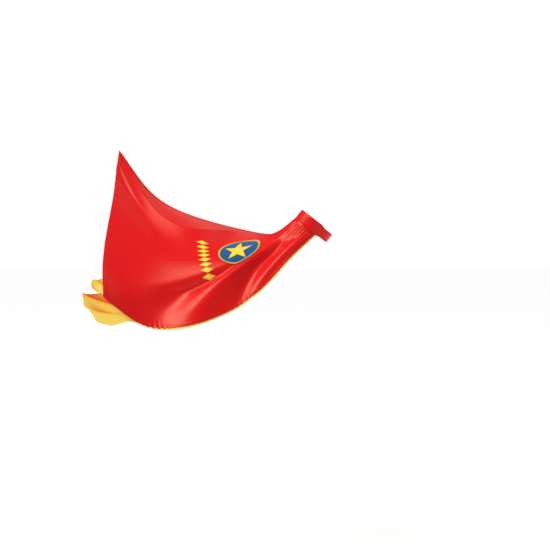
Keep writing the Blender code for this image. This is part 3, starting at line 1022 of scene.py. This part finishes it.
def make_strap():
    """The strap comes out of the band's right end: its cover, facing, padding and stitches."""
    bodies = "neckband", "closure_strap"
    bend = band_place(SEAM_END - 1.5), band_place(SEAM_END + 9)
    for name, node, profile, finish, slot, inset in (
        ("strap_cover", "strap_outer", cover_lift, red_satin(), "outer_satin", 0.0),
        ("strap_inner_facing", "strap_facing", facing_lift, yellow_satin(), "lining_satin", 0.0006),
    ):
        piece = strip_cloth(name, SEAM_END - 8, STRAP_END + 0.3, profile, CLOTH, finish, inset=inset)
        on_bend(piece, bodies, bend, slot, node)

    def padding(degrees, share):
        return 0.0016 + 0 * degrees

    piece = strip_cloth(
        "strap_padding", SEAM_END + 10, STRAP_END - 1, padding, 0.0010, interfacing_felt(), inset=0.002
    )
    on_body(piece, "closure_strap", "interfacing", "strap_interfacing")
    degrees = np.linspace(SEAM_END, STRAP_END - 1, 200)
    degrees = np.concatenate([degrees, degrees[::-1]])
    share = np.repeat([BAND_ROW, -BAND_ROW], 200)
    points, outwards = on_band(degrees, share, cover_lift(degrees, share) + CLOTH / 2 + 0.0001)
    piece = stitch_run("strap_stitches", points, outwards, thread_of("red"))
    on_bend(piece, bodies, bend, "sewing_thread")


def patch_frame(start, end, lift):
    """Points along a rectangle of stitches round a closure patch."""
    along = np.linspace(start, end, 60)
    degrees = np.concatenate([along, np.full(20, end), along[::-1], np.full(20, start)])
    down = np.linspace(PATCH_ROW, -PATCH_ROW, 20)
    up = np.linspace(-PATCH_ROW, PATCH_ROW, 20)
    share = np.concatenate([np.full(60, PATCH_ROW), down, np.full(60, -PATCH_ROW), up])
    return on_band(degrees, share, lift + 0 * degrees)


def make_tab():
    """The tab comes out of the strap's end, with a rounded tip and the hook tape on its inner face."""
    bend = band_place(STRAP_END + 0.6), band_place(STRAP_END + 9)

    def cover(degrees, share):
        crown = np.sqrt(np.maximum(1 - share**8, 0))
        return 0.0011 + 0.0007 * crown - 0.0002 * hump(np.abs(share), PATCH_ROW, 0.05)

    def facing(degrees, share):
        return 0.0004 + 0.0003 * share**6 + 0.0004 * (1 - smooth_step(degrees, STRAP_END, STRAP_END + 4))

    for name, node, profile, finish, slot, inset in (
        ("tab_cover", "tab_outer", cover, red_satin(), "outer_satin", 0.0),
        ("tab_inner_facing", "tab_facing", facing, yellow_satin(), "lining_satin", 0.0005),
    ):
        piece = strip_cloth(
            name, STRAP_END - 3, TAB_END, profile, CLOTH, finish, round_end=0.008, inset=inset
        )
        on_bend(piece, ("closure_strap", "closure_tab"), bend, slot, node)
    points, outwards = patch_frame(STRAP_END + 10, TAB_END - 6, 0.0022)
    piece = stitch_run("tab_stitches", points, outwards, thread_of("red"), closed=True)
    on_body(piece, "closure_tab", "sewing_thread", "hook_patch_stitching")


def tape(name, start, end, low, high, finish):
    """A patch of closure tape: a thin strip between these lifts, with rounded corners."""

    def profile(degrees, share):
        return (low + high) / 2 + 0 * degrees

    return strip_cloth(
        name, start, end, profile, high - low, finish, round_start=0.003, round_end=0.003, inset=0.003
    )


def pile_places(start, end, columns, rows):
    """An even grid of angles and shares over a patch, each nudged by a seeded draw."""
    draw = np.random.default_rng(12)
    degrees, share = np.meshgrid(np.linspace(start, end, columns), np.linspace(-0.68, 0.68, rows))
    degrees = degrees + draw.normal(0, 0.25, degrees.shape)
    share = share + draw.normal(0, 0.012, share.shape)
    return degrees.ravel(), share.ravel()


def make_hook_tape():
    """Hook tape: each hook is an arch of bent thread, leaning one way, that stands on the tape."""
    start, end = STRAP_END + 9.5, TAB_END - 4
    base = tape("hook_tape_base", start, end, -0.0010, -0.0003, hook_finish())
    degrees, share = pile_places(start + 2, end - 2, 22, 15)
    foot, outwards = on_band(degrees, share, HOOK_FOOT)
    other, _ = on_band(degrees + 0.7, share, HOOK_FOOT)
    piece = rods(
        "hook_tape_hooks", foot, other, -outwards, 0.00011, hook_finish(), arch=0.75, sides=5, rings=7
    )
    on_body(base, "closure_tab", "hook_tape", "hook_patch")
    on_body(piece, "closure_tab", "hook_tape")


def make_loop_tape():
    """Loop tape: a soft pile of low thread loops that lean every way."""
    start, end = -TAB_END + 3, -SEAM_END - 52
    base = tape("loop_tape_base", start, end, 0.0034, PILE_FOOT, loop_finish())
    degrees, share = pile_places(start + 2, end - 2, 26, 17)
    turn = np.random.default_rng(5).uniform(0, np.pi, len(degrees))
    foot, outwards = on_band(degrees, share, PILE_FOOT)
    other, _ = on_band(degrees + 0.9 * np.cos(turn), share + 0.05 * np.sin(turn), PILE_FOOT)
    piece = rods("loop_tape_pile", foot, other, outwards, 0.00012, loop_finish(), arch=0.35, sides=5, rings=7)
    points, outwards = patch_frame(start + 2, end - 2, 0.0045)
    stitches = stitch_run("loop_tape_stitches", points, outwards, thread_of("red"), closed=True)
    on_body(base, "neckband", "loop_tape", "loop_patch")
    on_body(piece, "neckband", "loop_tape")
    on_body(stitches, "neckband", "sewing_thread", "loop_patch_stitching")


def finish_interfacing():
    """The band's own interfacing keeps its shape and gets its felt."""
    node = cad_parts["neckband_interfacing"]
    node.data.materials.clear()
    node.data.materials.append(interfacing_felt())


# ---------------------------------------------------------------- badge, lozenges and label


def cape_scale(s, t):
    """Metres of cloth for each unit of s, and for each unit of t, about a place on the cape."""
    nudge = np.array([-0.01, 0.01])
    points = base_grid(s + nudge, t + nudge)
    per_s = np.linalg.norm(points[1].mean(axis=0) - points[0].mean(axis=0)) / np.ptp(nudge)
    per_t = np.linalg.norm(points[:, 1].mean(axis=0) - points[:, 0].mean(axis=0)) / np.ptp(nudge)
    return per_s, per_t


def sewn_on(centre, up_way, left_way, lift):
    """Points on the cape this many metres towards the neck and towards the left edge from the centre."""
    per_s, _ = cape_scale(*centre)
    s = centre[0] - np.asarray(up_way) / per_s
    widths = np.array([cape_scale(one, centre[1])[1] for one in centre[0] + np.array([-0.1, 0.0, 0.1])])
    per_t = np.interp(s, centre[0] + np.array([-0.1, 0.0, 0.1]), widths)
    return on_cape(s, centre[1] + np.asarray(left_way) / per_t, lift)


def outline(corners, steps):
    """A closed loop with this many even steps along each side."""
    share = np.arange(steps)[None, :, None] / steps
    return (corners[:, None] * (1 - share) + np.roll(corners, -1, axis=0)[:, None] * share).reshape(-1, 2)


def trim_rings(loop, shares, centre, lift):
    """Rings of points on the cape: the loop shrunk to each share of its size."""
    shares = np.asarray(shares)[:, None]
    return sewn_on(centre, shares * loop[:, 0], shares * loop[:, 1], lift)


def make_trim(name, loop, centre, lift, crown, thickness):
    """A flat shape that rises evenly from its outline to its middle, so that a star or lozenge gets
    facets."""
    shares = np.array([0.03, 0.2, 0.4, 0.6, 0.8, 0.93, 1.0])
    height = lift + crown * (1 - shares) - 0.0003 * (shares > 0.99)
    points, normals = trim_rings(loop, shares, centre, height[:, None])
    return thick_disc(name, points, normals, thickness, gold_satin())


def edging(loop, centre, lift, width):
    """Starts, ends and up directions of close stitches over an edge: the loop is walked in even steps, and
    each thread crosses it squarely."""
    closed = np.vstack([loop, loop[:1]])
    length = np.append(0.0, np.cumsum(np.linalg.norm(np.diff(closed, axis=0), axis=1)))
    at = np.arange(0, length[-1], EDGING_PITCH)
    place = np.stack([np.interp(at, length, closed[:, k]) for k in range(2)], axis=-1)
    ahead = unit(np.roll(place, -1, axis=0) - np.roll(place, 1, axis=0))
    squarely = np.stack([ahead[:, 1], -ahead[:, 0]], axis=-1) * width / 2
    starts, up = sewn_on(centre, *(place + squarely).T, lift)
    ends, _ = sewn_on(centre, *(place - squarely).T, lift)
    return starts, ends, up


def sew_edging(name, *parts):
    """One piece of the badge's thread from the close stitches of one or more edges."""
    starts, ends, up = (np.concatenate(rows) for rows in zip(*parts))
    piece = rods(name, starts, ends, up, EDGING_RADIUS, thread_of("gold"), arch=0.10, sides=5, rings=3)
    on_panel(piece, "badge_gold")


def badge_loop(share=1.0):
    """The badge's ellipse at this share of its size."""
    turn = np.linspace(0, 2 * np.pi, 160, endpoint=False)
    return share * np.stack([BADGE_HALF_LONG * np.cos(turn), BADGE_HALF_WIDE * np.sin(turn)], axis=-1)


def make_badge():
    """An oval of felt with a closely stitched rim, and a star with facets and a stitched edge."""
    base_lift = LAYER_LIFT + CLOTH / 2 + 0.0007
    points, normals = trim_rings(badge_loop(), np.linspace(0.03, 1, 16), BADGE_AT, base_lift)
    blue = shared("Badge felt", felt, colours().blue)
    on_panel(thick_disc("badge_disc", points, normals, 0.0010, blue), "badge_blue", "badge_base")
    shares = np.linspace(0.905, 0.995, 4)
    points, normals = trim_rings(badge_loop(), shares, BADGE_AT, base_lift + 0.0007)
    rim = thick_disc("badge_rim_band", points, normals, 0.0008, gold_satin(), hole=True)
    on_panel(rim, "badge_gold", "badge_rim")
    sew_edging("badge_rim_stitches", edging(badge_loop(0.955), BADGE_AT, base_lift + 0.0013, 0.0072))
    corner = np.pi * np.arange(10) / 5
    reach = np.where(np.arange(10) % 2 == 0, STAR_REACH, STAR_NOTCH)
    star = outline(reach[:, None] * np.stack([np.cos(corner), np.sin(corner)], axis=-1), 8)
    piece = make_trim("badge_star_trim", star, BADGE_AT, base_lift + 0.0009, 0.0012, 0.0007)
    on_panel(piece, "badge_gold", "badge_star")
    sew_edging("badge_star_stitches", edging(star, BADGE_AT, base_lift + 0.0012, 0.0030))


def make_lozenges():
    """A row of lozenges an even pitch apart along the cloth, each with a stitched edge."""
    t = np.linspace(-1, 1, 201)
    rib = base_grid(np.array([LOZENGE_ROW_S, LOZENGE_ROW_S + 0.01]), t)[0]
    length = np.append(0.0, np.cumsum(np.linalg.norm(np.diff(rib, axis=0), axis=1)))
    offsets = LOZENGE_PITCH * (np.arange(LOZENGES) - (LOZENGES - 1) / 2)
    corners = np.array([(1, 0), (0, 1), (-1, 0), (0, -1)]) * (LOZENGE_HALF_LONG, LOZENGE_HALF_WIDE)
    loop = outline(corners, 8)
    lift = LAYER_LIFT + CLOTH / 2 + 0.0004
    sewn = []
    for number, at in enumerate(np.interp(offsets, length - length[100], t)):
        centre = (LOZENGE_ROW_S, at)
        piece = make_trim(f"lozenge_{number + 1}_trim", loop, centre, lift, 0.0008, 0.0008)
        on_panel(piece, "badge_gold", f"lozenge_{number + 1}")
        sewn.append(edging(loop, centre, lift + 0.0005, 0.0024))
    sew_edging("lozenge_stitches", *sewn)


def make_label():
    """A blank care label inside the nape: it hangs from its stitches and curls a little at its foot."""
    width = np.linspace(-LABEL_HALF, LABEL_HALF, 25)
    length = np.linspace(0.0, LABEL_LENGTH, 27)
    start = ring(0.0, NECK_RADIUS - 0.0020, -BAND_HEIGHT / 2 + 0.010)
    curl = 0.0022 * (length / LABEL_LENGTH) ** 2.5
    bow = 0.0006 * (width / LABEL_HALF) ** 2 * smooth_step(length, 0.004, LABEL_LENGTH)[:, None]
    points = start + length[:, None, None] * -AXIS + width[:, None] * RIGHT
    points = points - (curl[:, None] + bow)[..., None] * NAPE
    normals = -grid_normals(points)
    if np.sum(normals @ NAPE) > 0:
        normals = -normals
    finish = shared("Label satin", satin, colours().white, (1, 1, 1), 0.45)
    piece = facing_out(thick_grid("care_label_cloth", points, normals, 0.0005, finish, cloth_uv(points)))
    on_body(piece, "label", "label_satin", "care_label")
    row = start - 0.0016 * AXIS + np.linspace(-0.010, 0.010, 40)[:, None] * RIGHT - 0.0004 * NAPE
    piece = stitch_run("care_label_stitches", row, -NAPE + 0 * row, thread_of("white"))
    on_body(piece, "label", "sewing_thread")


def make_stage():
    """The camera looks along Y and a little down, with the neck right of the view's centre and above it."""
    stage = bpy.context.scene.cape_stage
    view = np.array([0.0, np.cos(stage.elevation), -np.sin(stage.elevation)])
    up = np.array([0.0, np.sin(stage.elevation), np.cos(stage.elevation)])
    place = np.array([-stage.right_of_view, 0, 0]) - stage.above_view * up - stage.distance * view
    camera_data = bpy.data.cameras.new("camera")
    camera_data.sensor_width = SENSOR
    camera_data.lens = SENSOR * stage.distance / stage.frame_width
    camera = bpy.data.objects.new("camera", camera_data)
    camera.location = place
    camera.rotation_euler = (np.pi / 2 - stage.elevation, 0, 0)
    bpy.context.collection.objects.link(camera)
    bpy.context.scene.camera = camera
    bpy.context.scene.view_settings.view_transform = "Standard"
    make_floor(stage.floor)
    make_lights()
    make_world()


def make_floor(height):
    finish, tree, place, shader = new_finish("Pale floor")
    tone = tones(tree, place["Object"], 0.6, (0.93, 0.93, 0.93), 0.01)
    feed(tree, shader, {"Base Color": tone, "Roughness": 0.9})
    corners = [(FLOOR_HALF * x, FLOOR_HALF * y, height) for x, y in ((-1, -1), (1, -1), (1, 1), (-1, 1))]
    new_piece("floor", corners, [[0, 1, 2, 3]], finish, smooth=False)


def area_light(name, place, size, power, colour=(1, 1, 1), mirrored=False):
    """A round light that faces the cape. It shows in the satin's shine only if it is mirrored."""
    data = bpy.data.lights.new(name, "AREA")
    data.shape = "DISK"
    data.size = size
    data.energy = power
    data.color = colour
    light = bpy.data.objects.new(name, data)
    light.location = place
    direction = np.array(LIT_CENTRE) - np.array(place, float)
    yaw = np.arctan2(direction[1], direction[0])
    pitch = np.arctan2(np.hypot(direction[0], direction[1]), -direction[2])
    light.rotation_euler = (pitch, 0, yaw - np.pi / 2)
    light.visible_glossy = mirrored
    bpy.context.collection.objects.link(light)


def make_lights():
    data = bpy.data.lights.new("key", "SUN")
    data.energy = 2.6
    data.angle = np.radians(30)
    key = bpy.data.objects.new("key", data)
    key.rotation_euler = (np.radians(37), 0, np.radians(-66))
    bpy.context.collection.objects.link(key)
    area_light("left soft box", (-2.3, -1.7, 0.8), 0.9, 16)
    area_light("back soft box", (0.2, 2.2, 1.4), 1.8, 10)
    area_light("rim soft box", (0.0, 2.4, 1.3), 1.2, 2.4, (1.0, 0.62, 0.48), mirrored=True)
    area_light("top soft box", (0.6, 0.6, 2.3), 1.5, 34, (1.0, 0.94, 0.90))


def make_world():
    """A soft grey all round, white where the camera sees it, which the satin doesn't mirror."""
    world = bpy.data.worlds.new("Soft studio")
    bpy.context.scene.world = world
    world.use_nodes = True
    tree = world.node_tree
    path = add_node(tree, "LightPath", {})
    strength = ranged(tree, path.outputs["Is Camera Ray"], 0.46, 1.0)
    feed(tree, tree.nodes["Background"], {"Color": (1, 1, 1, 1), "Strength": strength})
    world.cycles_visibility.glossy = False


# ---------------------------------------------------------------- operators


class CAPE_OT_outer(bpy.types.Operator):
    """Make the outer satin cape"""

    bl_idname = "cape.outer"
    bl_label = "Outer cloth"

    def execute(self, context):
        make_outer()
        return {"FINISHED"}


class CAPE_OT_lining(bpy.types.Operator):
    """Make the lining with its loose corner"""

    bl_idname = "cape.lining"
    bl_label = "Lining"

    def execute(self, context):
        make_lining()
        return {"FINISHED"}


class CAPE_OT_edge_stitching(bpy.types.Operator):
    """Sew the side edges and the hem"""

    bl_idname = "cape.edge_stitching"
    bl_label = "Edge stitching"

    def execute(self, context):
        make_edge_stitching()
        return {"FINISHED"}


class CAPE_OT_neckband(bpy.types.Operator):
    """Make the neckband's cover, facing, stitches and bar tacks"""

    bl_idname = "cape.neckband"
    bl_label = "Neckband"

    def execute(self, context):
        make_neckband()
        make_bar_tacks()
        finish_interfacing()
        return {"FINISHED"}


class CAPE_OT_closure(bpy.types.Operator):
    """Make the strap and the tab that close the neckband"""

    bl_idname = "cape.closure"
    bl_label = "Closure strap and tab"

    def execute(self, context):
        make_strap()
        make_tab()
        return {"FINISHED"}


class CAPE_OT_tapes(bpy.types.Operator):
    """Make the hook tape and the loop tape"""

    bl_idname = "cape.tapes"
    bl_label = "Hook and loop tapes"

    def execute(self, context):
        make_hook_tape()
        make_loop_tape()
        return {"FINISHED"}


class CAPE_OT_badge(bpy.types.Operator):
    """Make the oval badge with its star"""

    bl_idname = "cape.badge"
    bl_label = "Badge"

    def execute(self, context):
        make_badge()
        return {"FINISHED"}


class CAPE_OT_lozenges(bpy.types.Operator):
    """Make the row of lozenges"""

    bl_idname = "cape.lozenges"
    bl_label = "Lozenges"

    def execute(self, context):
        make_lozenges()
        return {"FINISHED"}


class CAPE_OT_label(bpy.types.Operator):
    """Make the blank care label"""

    bl_idname = "cape.label"
    bl_label = "Care label"

    def execute(self, context):
        make_label()
        return {"FINISHED"}


class CAPE_OT_stage(bpy.types.Operator):
    """Set the floor, lights and camera"""

    bl_idname = "cape.stage"
    bl_label = "Stage"

    def execute(self, context):
        make_stage()
        return {"FINISHED"}


class CAPE_PT_build(bpy.types.Panel):
    """Lists the cape's steps"""

    bl_idname = "CAPE_PT_build"
    bl_label = "Superhero cape"
    bl_space_type = "VIEW_3D"
    bl_region_type = "UI"
    bl_category = "Cape"

    def draw(self, context):
        for group_name in ("cape_sizes", "cape_colours", "cape_stage"):
            settings = getattr(context.scene, group_name)
            for name in settings.bl_rna.properties.keys():
                if name not in ("rna_type", "name"):
                    self.layout.prop(settings, name)
        for operator in OPERATORS:
            self.layout.operator(operator.bl_idname)


SETTINGS = {"cape_sizes": CapeSizes, "cape_colours": CapeColours, "cape_stage": CapeStage}
OPERATORS = (
    CAPE_OT_stage, CAPE_OT_outer, CAPE_OT_lining, CAPE_OT_edge_stitching, CAPE_OT_neckband, CAPE_OT_closure,
    CAPE_OT_tapes, CAPE_OT_badge, CAPE_OT_lozenges, CAPE_OT_label,
)


def register():
    for made in (*SETTINGS.values(), *OPERATORS, CAPE_PT_build):
        bpy.utils.register_class(made)
    for name, settings in SETTINGS.items():
        setattr(bpy.types.Scene, name, bpy.props.PointerProperty(type=settings))


def unregister():
    for name in SETTINGS:
        delattr(bpy.types.Scene, name)
    for made in (CAPE_PT_build, *reversed(OPERATORS), *SETTINGS.values()):
        bpy.utils.unregister_class(made)


def main():
    register()
    for operator in OPERATORS:
        area, action = operator.bl_idname.split(".")
        getattr(getattr(bpy.ops, area), action)()


if __name__ == "__main__":
    main()
